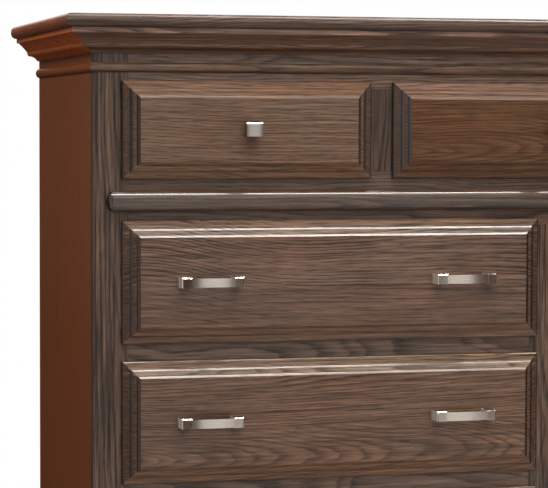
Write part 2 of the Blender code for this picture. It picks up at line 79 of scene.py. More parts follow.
# small tools for modelling
def letGo():
    if bpy.context.object and bpy.context.object.mode != "OBJECT":
        bpy.ops.object.mode_set(mode="OBJECT")
    bpy.ops.object.select_all(action="DESELECT")


def takeUp(piece):
    letGo()
    piece.select_set(True)
    bpy.context.view_layer.objects.active = piece


def turnApplied(piece):
    takeUp(piece)
    bpy.ops.object.transform_apply(location=True, rotation=True, scale=True)
    return piece


def boxBetween(name, low, high):
    letGo()
    low, high = Vector(low), Vector(high)
    bpy.ops.mesh.primitive_cube_add(size=1, location=(low + high) / 2)
    piece = bpy.context.object
    piece.name = name
    piece.scale = high - low
    return turnApplied(piece)


def pick(piece, kind, wanted):
    # edit mode, with only the wanted faces, edges or verts selected
    takeUp(piece)
    bpy.ops.object.mode_set(mode="EDIT")
    bpy.ops.mesh.select_mode(type=kind)
    bpy.ops.mesh.select_all(action="DESELECT")
    mesh = bmesh.from_edit_mesh(piece.data)
    for part in {"FACE": mesh.faces, "EDGE": mesh.edges, "VERT": mesh.verts}[kind]:
        part.select_set(bool(wanted(part)))
    bmesh.update_edit_mesh(piece.data)


def modified(piece, kind, **settings):
    takeUp(piece)
    modifier = piece.modifiers.new(kind.lower(), kind)
    for key, value in settings.items():
        setattr(modifier, key, value)
    bpy.ops.object.modifier_apply(modifier=modifier.name)


def easeEdges(piece, width, segments=2, angle=30):
    modified(piece, "BEVEL", width=width, segments=segments, limit_method="ANGLE", angle_limit=math.radians(angle),
             use_clamp_overlap=True)


def smoothed(piece, angle=32):
    takeUp(piece)
    bpy.ops.object.shade_smooth_by_angle(angle=math.radians(angle))
    modified(piece, "WEIGHTED_NORMAL", keep_sharp=True)  # broad faces stay flat beside eased edges
    letGo()
    return piece


def merged(piece, other, operation="UNION"):
    # welds other into piece as one closed solid, or cuts it out
    modified(piece, "BOOLEAN", operation=operation, solver="EXACT", object=other)
    bpy.data.objects.remove(other, do_unlink=True)


def joinUp(parts, name):
    # one piece of several shells
    letGo()
    for part in parts:
        part.select_set(True)
    bpy.context.view_layer.objects.active = parts[0]
    if len(parts) > 1:
        bpy.ops.object.join()
    parts[0].name = name
    return parts[0]


def copyAt(source, name, shift):
    mesh = source.data.copy()
    mesh.transform(Matrix.Translation(shift))
    piece = bpy.data.objects.new(name, mesh)
    scene.collection.objects.link(piece)
    return piece


def coat(piece, material):
    piece.data.materials.clear()
    piece.data.materials.append(material)


def place(piece, body, slot, *stoodFor):
    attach(piece, body)
    if stoodFor:
        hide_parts(*stoodFor)


# small tools for materials
def newMaterial(name):
    material = bpy.data.materials.new(name)
    material.use_nodes = True
    return material, material.node_tree, material.node_tree.nodes["Principled BSDF"]


def put(tree, kind, **settings):
    node = tree.nodes.new(kind)
    for key, value in settings.items():
        setattr(node, key, value)
    return node


def feed(tree, socket, value):
    if isinstance(value, bpy.types.NodeSocket):
        tree.links.new(value, socket)
    else:
        socket.default_value = value


def calc(tree, operation, *values):
    node = put(tree, "ShaderNodeMath", operation=operation)
    for socket, value in zip(node.inputs, values):
        feed(tree, socket, value)
    return node.outputs[0]


def remap(tree, value, low, high, toLow=0.0, toHigh=1.0, smooth=False):
    node = put(tree, "ShaderNodeMapRange")
    if smooth:
        node.interpolation_type = "SMOOTHSTEP"
    for socket, part in zip(node.inputs, (value, low, high, toLow, toHigh)):
        feed(tree, socket, part)
    return node.outputs[0]


def blendColour(tree, share, first, second, way="MIX"):
    node = put(tree, "ShaderNodeMix", data_type="RGBA", blend_type=way)
    feed(tree, node.inputs[0], share)
    for socket, colour in ((node.inputs[6], first), (node.inputs[7], second)):
        feed(tree, socket, colour if isinstance(colour, bpy.types.NodeSocket) else (*colour, 1))
    return node.outputs[2]


def tinted(tree, colour, tint):
    return blendColour(tree, 1.0, colour, tint, "MULTIPLY")


def parted(tree, vector):
    node = put(tree, "ShaderNodeSeparateXYZ")
    tree.links.new(vector, node.inputs[0])
    return tuple(node.outputs)


def objectPlace(tree):
    return put(tree, "ShaderNodeTexCoord").outputs["Object"]


def facing(tree):
    return parted(tree, put(tree, "ShaderNodeNewGeometry").outputs["Normal"])


def joined(tree, x, y, z):
    node = put(tree, "ShaderNodeCombineXYZ")
    for socket, value in zip(node.inputs, (x, y, z)):
        feed(tree, socket, value)
    return node.outputs[0]


def stretched(tree, axes, scales, shift=0.0):
    # the grain's own axes, each scaled, with a shift along the board
    along = calc(tree, "MULTIPLY_ADD", axes[0], scales[0], shift)
    across = calc(tree, "MULTIPLY", axes[1], scales[1])
    deep = calc(tree, "MULTIPLY", axes[2], scales[2])
    return joined(tree, along, across, deep)


def cloud(tree, vector, detail=2.0, rough=0.5):
    node = put(tree, "ShaderNodeTexNoise")
    feed(tree, node.inputs["Vector"], vector)
    node.inputs["Scale"].default_value = 1
    node.inputs["Detail"].default_value = detail
    node.inputs["Roughness"].default_value = rough
    return node.outputs[0]


def emboss(tree, shader, height, strength, depth):
    bump = put(tree, "ShaderNodeBump")
    bump.inputs["Strength"].default_value = strength
    bump.inputs["Distance"].default_value = depth
    tree.links.new(height, bump.inputs["Height"])
    tree.links.new(bump.outputs[0], shader.inputs["Normal"])


# wood: rings round a leaning pith, cut by the board, with pores, fibres and board joints
grainRule = {
    "boardDice": 3.71, "toneDice": 7.3, "shiftRange": 40.0,
    "uneven": (0.37, 1.6),              # how often the rings' spacing changes, and by how much
    "faintFrom": (0.36, 0.62), "patchFrom": (0.36, 0.66), "evenFrom": (0.3, 0.7),
    "poreSoft": 0.1, "noPores": 0.72,   # strength of the lines between the pores
    "endFrom": (0.10, 0.50), "endTone": (0.85, 1.15),
    # normal heights over which painted light on faces that look up, and painted shading and extra roughness on
    # faces that look down, fade in
    "paintedTopLightFrom": (0.08, 0.30), "underFrom": (-0.08, -0.6),
    "relief": (-0.25, 0.15), "reliefDepth": 0.0002,
}


def wood(name, look, axes, seed, box, boards=1, slip=0.0, figure=None):
    # axes: along the grain, across it, and into the board
    rule = grainRule
    material, tree, shader = newMaterial(name)
    places = dict(zip("xyz", parted(tree, objectPlace(tree))))
    low, high = (dict(zip("xyz", corner)) for corner in box)
    along, deep = (calc(tree, "SUBTRACT", places[letter], (low[letter] + high[letter]) / 2)
                   for letter in (axes[0], axes[2]))
    across = places[axes[1]]
    size = high[axes[1]] - low[axes[1]]
    start = low[axes[1]] + slip * size
    width = size / boards

    # which board of the glued-up width, and that board's own random numbers
    board = calc(tree, "FLOOR", calc(tree, "DIVIDE", calc(tree, "SUBTRACT", across, start), width))
    dice = put(tree, "ShaderNodeTexWhiteNoise", noise_dimensions="1D")
    feed(tree, dice.inputs["W"], calc(tree, "MULTIPLY_ADD", board, rule["boardDice"], seed))
    chance = put(tree, "ShaderNodeSeparateColor")
    tree.links.new(dice.outputs["Color"], chance.inputs[0])
    red, green, blue = chance.outputs[0], chance.outputs[1], chance.outputs[2]
    middle = calc(tree, "MULTIPLY_ADD", calc(tree, "ADD", board, 0.5), width, start)
    inBoard = calc(tree, "SUBTRACT", across, middle)
    shift = calc(tree, "MULTIPLY_ADD", blue, rule["shiftRange"], seed)
    grain = (along, inBoard, deep)

    # how the board was cut: the pith's place beside it and behind it, its lean, the board's tone and its lines
    if figure:
        second = calc(tree, "MINIMUM", calc(tree, "MAXIMUM", board, 0), 1)
        side, lean, behind, boardTone, bold = (calc(tree, "MULTIPLY_ADD", second, last - first, first)
                                               for first, last in zip(figure[0], figure[-1]))
    else:
        bold = 1.0
        side = calc(tree, "MULTIPLY", calc(tree, "SUBTRACT", red, 0.5), look["offCentre"])
        lean = calc(tree, "MULTIPLY", calc(tree, "SUBTRACT", green, 0.5), look["lean"])
        behind = look["behind"]
        ownTone = calc(tree, "FRACT", calc(tree, "MULTIPLY", red, rule["toneDice"]))
        boardTone = remap(tree, ownTone, 0, 1, 1 - look["boardTone"], 1 + look["boardTone"])

    # ring figure
    sway, lift = (calc(tree, "SUBTRACT", cloud(tree, stretched(tree, grain, look[way], shift), detail=1.5), 0.5)
                  for way in ("sway", "lift"))
    fromPith = calc(tree, "MULTIPLY_ADD", sway, look["swayDepth"], calc(tree, "ADD", inBoard, side))
    if look["swoop"]:
        begin, finish, drop = look["swoop"]
        fromPith = calc(tree, "ADD", fromPith, remap(tree, along, begin, finish, 0, drop, smooth=True))
    depth = calc(tree, "MULTIPLY_ADD", along, lean, calc(tree, "ADD", deep, behind))
    depth = calc(tree, "MULTIPLY_ADD", lift, look["liftDepth"], depth)
    squares = calc(tree, "ADD", calc(tree, "MULTIPLY", fromPith, fromPith), calc(tree, "MULTIPLY", depth, depth))
    rings = calc(tree, "DIVIDE", calc(tree, "SQRT", squares), look["ringGap"])
    fray = cloud(tree, stretched(tree, grain, look["fray"], shift))
    rings = calc(tree, "MULTIPLY_ADD", fray, look["frayDepth"], rings)
    uneven = put(tree, "ShaderNodeTexNoise", noise_dimensions="1D")
    often, much = rule["uneven"]
    feed(tree, uneven.inputs["W"], calc(tree, "MULTIPLY", rings, often))
    uneven.inputs["Scale"].default_value = 1
    rings = calc(tree, "MULTIPLY_ADD", uneven.outputs[0], much, rings)
    ramp = put(tree, "ShaderNodeValToRGB")
    feed(tree, ramp.inputs[0], calc(tree, "FRACT", rings))
    for spot, (position, value) in enumerate(look["ringProfile"]):
        if spot < 2:  # a new ramp has two stops
            stop = ramp.color_ramp.elements[spot]
            stop.position = position
        else:
            stop = ramp.color_ramp.elements.new(position)
        stop.color = (value, value, value, 1)
    early = ramp.outputs[0]

    # fibres, pores and broad patches
    fibre = cloud(tree, stretched(tree, grain, look["fibre"], shift), detail=3.0, rough=0.6)
    pores = cloud(tree, stretched(tree, grain, look["pore"], shift), detail=1.0)
    pores = remap(tree, pores, look["poreFrom"], look["poreFrom"] + rule["poreSoft"])
    patch = cloud(tree, stretched(tree, grain, look["patch"], shift))
    faint = cloud(tree, stretched(tree, grain, look["faint"], shift))
    faint = remap(tree, faint, *rule["faintFrom"], look["faintest"], 1.0, smooth=True)
    contrast = remap(tree, pores, 0, 1, look["contrast"] * rule["noPores"], look["contrast"])
    strength = calc(tree, "MULTIPLY", faint, contrast)
    lines = calc(tree, "MULTIPLY", early, calc(tree, "MULTIPLY", strength, bold))
    pores = calc(tree, "MULTIPLY", pores, remap(tree, early, 0, 1, look["poreLate"], 1))

    # colour of the lines, patches, fibres and pores
    colour = blendColour(tree, lines, look["light"], look["dark"])
    warm = remap(tree, patch, *rule["patchFrom"], smooth=True)
    colour = tinted(tree, colour, blendColour(tree, warm, look["cool"], look["warm"]))
    tone = remap(tree, fibre, *rule["evenFrom"], 1 - look["fibreTone"], 1 + look["fibreTone"])
    tone = calc(tree, "MULTIPLY", tone, boardTone)
    colour = tinted(tree, colour, joined(tree, tone, tone, tone))
    colour = blendColour(tree, calc(tree, "MULTIPLY", pores, look["poreTone"]), colour, look["poreColour"])

    # end grain drinks the stain evenly; faces that look up get painted light, and those that look down get painted
    # shading, a painted shade or a painted warm bounce light by their tint
    sides = dict(zip("xyz", facing(tree)))
    endGrain = remap(tree, calc(tree, "ABSOLUTE", sides[axes[0]]), *rule["endFrom"], smooth=True)
    endColour = tuple(share * part for share, part in zip(look["endStain"], look["light"]))
    endTone = calc(tree, "MULTIPLY", boardTone, remap(tree, patch, *rule["evenFrom"], *rule["endTone"]))
    endColour = tinted(tree, endColour, joined(tree, endTone, endTone, endTone))
    colour = blendColour(tree, calc(tree, "MULTIPLY", endGrain, look["endShare"]), colour, endColour)
    over = remap(tree, sides["z"], *rule["paintedTopLightFrom"], smooth=True)
    colour = blendColour(tree, over, colour, tinted(tree, colour, look["overTint"]))
    under = remap(tree, sides["z"], *rule["underFrom"], smooth=True)
    colour = blendColour(tree, calc(tree, "MULTIPLY", under, look["underShare"]), colour,
                         tinted(tree, colour, look["underTint"]))
    if look["band"]:  # painted light and painted sheen: a band along the upper edge tinted lighter and greyer
        near, far, tint = look["band"]
        fromTop = calc(tree, "SUBTRACT", high["z"], places["z"])
        inBand = calc(tree, "MULTIPLY", calc(tree, "GREATER_THAN", fromTop, near),
                      calc(tree, "LESS_THAN", fromTop, far))
        colour = blendColour(tree, inBand, colour, tinted(tree, colour, tint))
    tree.links.new(colour, shader.inputs["Base Color"])

    # lacquer, a little rougher in the rings, pores and underneath
    rough = calc(tree, "MULTIPLY_ADD", early, look["roughRing"], look["rough"])
    rough = calc(tree, "MULTIPLY_ADD", pores, look["roughPore"], rough)
    rough = calc(tree, "MULTIPLY_ADD", under, look["underRough"], rough)
    tree.links.new(rough, shader.inputs["Roughness"])
    shader.inputs["Specular IOR Level"].default_value = look["gloss"]
    ringRelief, fibreRelief = rule["relief"]
    relief = calc(tree, "MULTIPLY_ADD", early, ringRelief, calc(tree, "MULTIPLY", fibre, fibreRelief))
    relief = calc(tree, "SUBTRACT", relief, pores)
    emboss(tree, shader, relief, look["relief"], rule["reliefDepth"])
    return material


# front oak: brown stain under satin lacquer
frontOak = {
    "sway": (2.6, 9, 9), "swayDepth": 0.040,
    "lift": (3.2, 9, 9), "liftDepth": 0.030,
    "offCentre": 0.10, "lean": 0.10, "behind": 0.050,
    "ringGap": 0.0038, "fray": (15, 120, 120), "frayDepth": 0.7, "swoop": None,
    "ringProfile": ((0.0, 0.60), (0.12, 1.0), (0.36, 0.46), (0.64, 0.06), (1.0, 0.08)),
    "faint": (5, 18, 18), "faintest": 0.68,
    "fibre": (9, 320, 320), "fibreTone": 0.55,
    "pore": (36, 820, 820), "poreFrom": 0.50, "poreLate": 0.40, "poreTone": 0.60,
    "poreColour": (0.018, 0.010, 0.007),
    "patch": (4.5, 14, 14), "cool": (0.97, 1.0, 1.02), "warm": (1.05, 0.98, 0.93),
    "light": (0.130, 0.0747, 0.0484), "dark": (0.017, 0.0088, 0.0055), "contrast": 1.0, "boardTone": 0.12,
    "endShare": 0.9, "endStain": (0.18, 0.20, 0.25),
    # painted light on the faces that look up, and painted warm bounce light on those that look down
    "overTint": (1.28, 1.40, 1.42), "underShare": 0.8, "underTint": (1.22, 1.00, 0.74),
    "rough": 0.20, "roughRing": 0.01, "roughPore": 0.04, "underRough": 0.25,
    "gloss": 0.30, "relief": 0.04, "band": None,
}


def stained(look, coating, **changes):
    # the same wood under a lighter or darker coat of stain
    coated = dict(look)
    for part in ("light", "dark"):
        coated[part] = tuple(share * value for share, value in zip(coating, look[part]))
    coated.update(changes)
    return coated


stileOak = stained(frontOak, (0.74, 0.74, 0.72), dark=(0.006, 0.0042, 0.003), faint=(4, 60, 60), ringGap=0.0046,
                   fibre=(7, 260, 260), fibreTone=0.92)
mullionOak = stained(stileOak, (0.69, 0.67, 0.68), fibreTone=0.45)
railOak = stained(frontOak, (1.0, 1.06, 1.10))
waistRailOak = stained(railOak, (0.90, 0.88, 0.86))
# painted shade on the crown's faces that look down, and painted light on a band along its upper edge
crownOak = stained(frontOak, (0.92, 0.84, 0.78), underTint=(0.78, 0.63, 0.46),
                   band=(-1.0, 0.0085, (1.60, 1.82, 2.10)))
# painted shade on the bead's faces that look down
beadOak = stained(frontOak, (0.88, 0.85, 0.83), underTint=(0.70, 0.60, 0.48))
# a slight painted warm bounce light on the waist moulding's faces that look down
waistOak = stained(frontOak, (0.61, 0.59, 0.60), underTint=(1.05, 0.98, 0.90), gloss=0.68)
# painted light on a band along the top's upper edge
slabOak = stained(frontOak, (0.63, 0.68, 0.72), endStain=(2.0, 0.76, 0.33), overTint=(1, 1, 1),
                  band=(0.0002, 0.0100, (1.75, 1.80, 1.90)))

# side oak: redder and smoother
sideOak = dict(frontOak)
sideOak.update({
    "light": (0.200, 0.056, 0.0175), "dark": (0.135, 0.035, 0.011), "contrast": 0.7,
    "cool": (0.96, 1.0, 1.0), "warm": (1.04, 1.0, 0.96), "fibreTone": 0.14,
    "poreTone": 0.3, "poreColour": (0.06, 0.016, 0.006),
    "endStain": (0.6, 0.6, 0.6), "overTint": (1, 1, 1), "underShare": 0.0,
    "rough": 0.33, "gloss": 0.08, "relief": 0.2,
})
sideMould = stained(sideOak, (2.3, 2.15, 1.80))

# maple of the drawer boxes and inner panels
clearMaple = dict(frontOak)
clearMaple.update({
    "light": (0.60, 0.42, 0.25), "dark": (0.48, 0.31, 0.17), "contrast": 0.6,
    "cool": (0.98, 1.0, 1.0), "warm": (1.03, 0.99, 0.95), "fibreTone": 0.06,
    "poreTone": 0.15, "poreColour": (0.30, 0.19, 0.10), "boardTone": 0.06,
    "endStain": (0.72, 0.66, 0.58), "overTint": (1, 1, 1), "underShare": 0.0, "ringGap": 0.0062,
    "rough": 0.42, "relief": 0.12,
})

# plywood of the back
backPly = dict(frontOak)
backPly.update({
    "light": (0.235, 0.135, 0.075), "dark": (0.145, 0.078, 0.040), "contrast": 0.7,
    "sway": (1.4, 3, 3), "swayDepth": 0.10, "lift": (1.2, 2.2, 2.2), "liftDepth": 0.12, "behind": 0.14,
    "fibreTone": 0.10, "poreTone": 0.25, "poreColour": (0.09, 0.05, 0.025), "ringGap": 0.0105,
    "endStain": (0.7, 0.65, 0.6), "overTint": (1, 1, 1), "underShare": 0.0, "rough": 0.55, "relief": 0.2,
})


# brushed nickel, its ends less polished
nickelLook = {
    "light": (0.60, 0.535, 0.46), "dark": (0.48, 0.42, 0.36),
    "brush": (26, 1500, 2600), "brushTone": (0.3, 0.7), "brushRough": (0.25, 0.75),
    "rough": 0.15, "roughRange": 0.06, "haze": (40, 60, 90), "hazeRough": 0.06,
    "sideRough": 0.60, "sideFrom": (0.7, 0.95), "relief": 0.03, "reliefDepth": 0.0001,
}
# the knobs' nickel is the pulls' metal painted darker: painted shade
knobShadedLook = dict(nickelLook, light=(0.45, 0.405, 0.365), dark=(0.355, 0.315, 0.28), sideRough=0.0)


def brushedNickel(name, look):
    material, tree, shader = newMaterial(name)
    places = parted(tree, objectPlace(tree))
    brush = cloud(tree, stretched(tree, places, look["brush"]), rough=0.6)
    haze = cloud(tree, stretched(tree, places, look["haze"]))
    colour = blendColour(tree, remap(tree, brush, *look["brushTone"]), look["dark"], look["light"])
    tree.links.new(colour, shader.inputs["Base Color"])
    rough = remap(tree, brush, *look["brushRough"], look["rough"], look["rough"] + look["roughRange"])
    rough = calc(tree, "MULTIPLY_ADD", haze, look["hazeRough"], rough)
    atSide = remap(tree, calc(tree, "ABSOLUTE", facing(tree)[0]), *look["sideFrom"], smooth=True)
    tree.links.new(calc(tree, "MULTIPLY_ADD", atSide, look["sideRough"], rough), shader.inputs["Roughness"])
    shader.inputs["Metallic"].default_value = 1
    emboss(tree, shader, brush, look["relief"], look["reliefDepth"])
    return material


pullNickel = brushedNickel("pullNickel", nickelLook)
knobShadedNickel = brushedNickel("knobShadedNickel", knobShadedLook)


# drawer fronts: a board whose front is stepped in to a raised field
topDrawers = ("top_left", "top_middle", "top_right")
wideDrawers = tuple(row + "_" + column for row in ("upper", "middle", "lower") for column in ("left", "right"))
frontShape = {
    "edge": 0.0062,
    # inset from the last line, and rise, from the outer edge to the field
    "edgeSteps": ((0.0005, 0.00075), (0.0013, 0.00105), (0.0082, 0.0028)),
    "wideSteps": ((0.0010, 0.0020), (0.0030, 0.0024), (0.0052, 0.0014), (0.0010, 0.0021), (0.0035, 0.0028)),
    "topSteps": ((0.0010, 0.0026), (0.0030, 0.0018), (0.0052, 0.0014), (0.0010, 0.0027), (0.0035, 0.0022)),
    "ease": 0.0005,
    "seam": -0.05,      # the joint between two boards is this share of the height off the middle
}


def makeFront(drawer, seed, stain, changes, *figure):
    shape = frontShape
    low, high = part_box(drawer + "_front")
    front = boxBetween(drawer + "_front_shaped", (low.x, high.y - shape["edge"], low.z), high)
    pick(front, "FACE", lambda face: face.normal.y < -0.9)
    steps = shape["topSteps" if drawer in topDrawers else "wideSteps"]
    for inset, rise in shape["edgeSteps"] + steps:
        bpy.ops.mesh.inset(thickness=inset, depth=rise, use_boundary=True, use_even_offset=True)
    easeEdges(front, shape["ease"], segments=3, angle=12)
    smoothed(front, angle=40)
    look = stained(frontOak, stain, **changes)
    coat(front, wood("oak_" + drawer, look, "xzy", seed, (low, high), len(figure), shape["seam"], figure))
    place(front, drawer + "_drawer", "stained_oak", drawer + "_front")


# the top fronts: painted light on their bands that look up, warm on two of them and a pale grey painted sheen on
# the middle one; on the two warm ones a warm painted shade on the bands that look down
warmPaintedBands = {"overTint": (1.32, 1.16, 1.0), "underTint": (1.12, 0.84, 0.55), "contrast": 0.72, "fibreTone": 0.36,
             "gloss": 0.15, "rough": 0.24}
palePaintedSheenBands = dict(warmPaintedBands, overTint=(1.96, 2.40, 3.45), underTint=(1.0, 1.0, 1.0), endStain=(0.42, 0.85, 1.80))
# painted sheen: a lighter, greyer band across the stepped edge near the top of each wide front; the second set
# also sweeps the rings down along its board
paintedGreySheen = {"band": (0.0140, 0.0190, (1.34, 1.60, 1.95))}
sweptPaintedSheen = dict(paintedGreySheen, swoop=(-0.29, -0.03, 0.036), ringGap=0.0054, faint=(7, 34, 34), faintest=0.30)
# seed, coat of stain, changes to the oak, then each board from the lowest up:
# pith beside it, lean, pith behind it, tone, strength of the lines
frontBoards = {
    "top_left": (2.3, (1.11, 1.20, 1.24), warmPaintedBands, (0.095, 0.03, 0.050, 1.0, 0.8)),
    "top_middle": (7.4, (0.83, 0.67, 0.48), palePaintedSheenBands, (0.021, 0.10, 0.040, 1.0, 1.0)),
    "top_right": (12.5, (1.05, 1.02, 0.98), warmPaintedBands, (0.020, 0.08, 0.055, 1.0, 1.0)),
    "upper_left": (31.7, (0.98, 0.97, 0.97), sweptPaintedSheen,
                   (0.14, 0.02, 0.060, 0.90, 0.40), (0.095, 0.0, 0.030, 1.10, 1.25)),
    "upper_right": (36.0, (0.96, 0.94, 0.92), paintedGreySheen,
                    (-0.015, 0.09, 0.050, 1.0, 0.8), (0.06, 0.04, 0.045, 0.95, 1.0)),
    "middle_left": (40.3, (1.04, 0.98, 0.90), paintedGreySheen,
                    (0.0, 0.10, 0.048, 0.98, 0.8), (-0.05, 0.05, 0.050, 1.03, 1.0)),
    "middle_right": (44.6, (1.04, 1.02, 1.0), paintedGreySheen,
                     (0.05, -0.06, 0.045, 1.0, 0.8), (0.0, 0.09, 0.052, 0.96, 1.0)),
    "lower_left": (48.9, (1.0, 1.0, 1.0), paintedGreySheen,
                   (-0.02, 0.08, 0.050, 0.96, 0.8), (0.05, -0.05, 0.045, 1.04, 1.0)),
    "lower_right": (53.2, (0.94, 0.90, 0.86), paintedGreySheen,
                    (0.06, 0.05, 0.045, 1.02, 0.8), (-0.01, -0.09, 0.050, 0.97, 1.0)),
}
for drawer, boards in frontBoards.items():
    makeFront(drawer, *boards)
print("drawer fronts made")


# copies of one model at the CAD nodes of that ending
def setHardware(model, material, drawers, *endings):
    for drawer in drawers:
        for ending in endings:
            node = drawer + ending
            low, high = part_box(node)
            middle = (low + high) / 2
            piece = copyAt(model, node + "_shaped", (middle.x, high.y, middle.z))
            coat(piece, material)
            place(piece, drawer + "_drawer", "brushed_nickel", node)
    bpy.data.objects.remove(model, do_unlink=True)


# arched pulls: a bowed bar between two feet whose tops slope to the front
pullShape = {
    "half": 0.0450, "proud": 0.0237, "bow": 0.0055, "cuts": 40,
    "bar": (0.0042, 0.0128), "barBack": 0.0004,
    "barTuck": 0.003,               # the bar's ends are inside the feet
    "foot": (0.0140, 0.0144),
    "slope": (0.0010, 38.7),        # height, and degrees that its face looks up
    "corner": 0.0018, "ease": 0.0005, "flange": (0.0010, 0.0018), "flangeLap": 0.0001,
    "near": 0.001,                  # verts this close are on the same side
}


def makeFoot(side):
    shape = pullShape
    half, proud, bow, near = (shape[key] for key in ("half", "proud", "bow", "near"))
    wide, tall = shape["foot"]
    inner = half - wide
    ends = sorted((side * inner, side * half))
    foot = boxBetween("foot", (ends[0], -proud, -tall / 2), (ends[1], 0, tall / 2))
    forward = bow * (1 - (inner / half) ** 2)
    pick(foot, "VERT", lambda vert: abs(vert.co.x) < inner + near and vert.co.y < -proud + near)
    bpy.ops.transform.translate(value=(0, -forward, 0))
    pick(foot, "EDGE", lambda edge: all(abs(vert.co.x) > half - near and vert.co.y < -proud + near
                                        for vert in edge.verts))
    bpy.ops.mesh.bevel(offset=shape["corner"], segments=4, affect="EDGES")
    rise, tip = shape["slope"][0], math.radians(shape["slope"][1])
    turn = math.atan2(forward, wide) * side
    outward = (math.sin(turn) * math.cos(tip), -math.cos(turn) * math.cos(tip), math.sin(tip))
    bpy.ops.mesh.select_all(action="SELECT")
    bpy.ops.mesh.bisect(plane_co=(side * half, -proud, tall / 2 - rise), plane_no=outward, use_fill=True,
                        clear_outer=True)
    letGo()
    spread, deep = shape["flange"]
    edge = tall / 2 + shape["flangeLap"]
    flange = boxBetween("flange", (ends[0] - spread, -deep, -edge), (ends[1] + spread, 0, edge))
    easeEdges(flange, spread / 2)
    merged(foot, flange)
    return foot


def makePull():
    shape = pullShape
    proud, thick, tall = shape["proud"] - shape["barBack"], *shape["bar"]
    half = shape["half"] - shape["barTuck"]
    pull = boxBetween("pull", (-half, -proud, -tall / 2), (half, thick - proud, tall / 2))
    pick(pull, "EDGE", lambda edge: abs(edge.verts[0].co.x - edge.verts[1].co.x) > half)
    bpy.ops.mesh.subdivide(number_cuts=shape["cuts"])
    step = 2 * half / (shape["cuts"] + 1)
    for column in range(shape["cuts"] + 2):  # the bow, highest in the middle
        x = column * step - half
        pick(pull, "VERT", lambda vert: abs(vert.co.x - x) < step / 4)
        bpy.ops.transform.translate(value=(0, -shape["bow"] * (1 - (x / shape["half"]) ** 2), 0))
    letGo()
    for side in (-1, 1):
        merged(pull, makeFoot(side))
    easeEdges(pull, shape["ease"])
    return smoothed(pull, angle=38)


setHardware(makePull(), pullNickel, wideDrawers, "_outer_pull", "_inner_pull")
print("pulls made")


# squarish knobs with a sloped lip at the top
knobShape = {
    "width": 0.0236, "height": 0.0198, "head": 0.0150, "proud": 0.0247, "bow": 0.00085,
    "waist": 0.04, "lip": (0.0026, 36.0), "ease": 0.0006, "taper": 0.99,
    "neck": (0.0078, 0.0056), "neckSides": 40, "cuts": 9,
    "levels": (-0.3, -0.15, 0.0, 0.15, 0.3),  # level cuts for the waisted sides, as shares of the height
}


def makeKnob():
    shape = knobShape
    wide, tall = shape["width"], shape["height"]
    front = -shape["proud"] + shape["bow"]
    head = boxBetween("knob", (-wide / 2, front, -tall / 2), (wide / 2, front + shape["head"], tall / 2))
    rise, tip = shape["lip"][0], math.radians(shape["lip"][1])
    pick(head, "FACE", lambda face: True)
    bpy.ops.mesh.bisect(plane_co=(0, front, tall / 2 - rise), plane_no=(0, -math.cos(tip), math.sin(tip)),
                        use_fill=True, clear_outer=True)
    pick(head, "EDGE", lambda edge: abs(edge.verts[0].co.x - edge.verts[1].co.x) > wide / 2)
    bpy.ops.mesh.subdivide(number_cuts=shape["cuts"])
    for level in shape["levels"]:
        bpy.ops.mesh.select_all(action="SELECT")
        bpy.ops.mesh.bisect(plane_co=(0, 0, level * tall), plane_no=(0, 0, 1))
    mesh = bmesh.from_edit_mesh(head.data)
    for vert in mesh.verts:
        level = vert.co.z / (tall / 2)
        vert.co.x *= 1 - shape["waist"] * (1 - level * level)
        back = (vert.co.y - front) / shape["head"]
        vert.co.y -= shape["bow"] * (1 - (vert.co.x / (wide / 2)) ** 2) * max(0, 1 - 2 * back)
        vert.co.x *= 1 - (1 - shape["taper"]) * back
        vert.co.z *= 1 - (1 - shape["taper"]) * back
    bmesh.update_edit_mesh(head.data)
    letGo()
    wideNeck, slimNeck = shape["neck"]
    length = shape["proud"] - shape["head"] / 2
    bpy.ops.mesh.primitive_cone_add(vertices=shape["neckSides"], radius1=slimNeck, radius2=wideNeck, depth=length,
                                    location=(0, -length / 2, 0), rotation=(math.radians(-90), 0, 0))
    merged(head, turnApplied(bpy.context.object))
    easeEdges(head, shape["ease"], segments=3, angle=40)
    return smoothed(head, angle=40)


setHardware(makeKnob(), knobShadedNickel, topDrawers, "_knob")
print("knobs made")


# drawer boxes: sides, ends and a bottom let into them, with dovetail pins at the corners
boxShape = {
    "wall": 0.012, "bottom": 0.006, "raised": 0.010, "letIn": 0.004, "ease": 0.0007,
    "pin": (0.0050, 0.0094), "pinProud": 0.00015, "pinEvery": 0.027,
    # maple of each kind of board: grain axes, and boards in the width
    "maple": {"sides": ("yzx", 1), "ends": ("xzy", 1), "bottom": ("xyz", 3)},
    "firstSeed": 50.3, "seedStep": 2.9,
}


def makePin(end):
    # narrow towards that end of the box, -1 for the front and 1 for the back
    half, proud = boxShape["wall"] / 2, boxShape["pinProud"]
    slim, wide = boxShape["pin"]
    pin = boxBetween("pin", (-half - proud, -half, -wide / 2), (half + proud, half, wide / 2))
    for side in (-1, 1):
        pick(pin, "VERT", lambda vert: vert.co.y * end > 0 and vert.co.z * side > 0)
        bpy.ops.transform.translate(value=(0, 0, side * (slim - wide) / 2))
    letGo()
    return pin


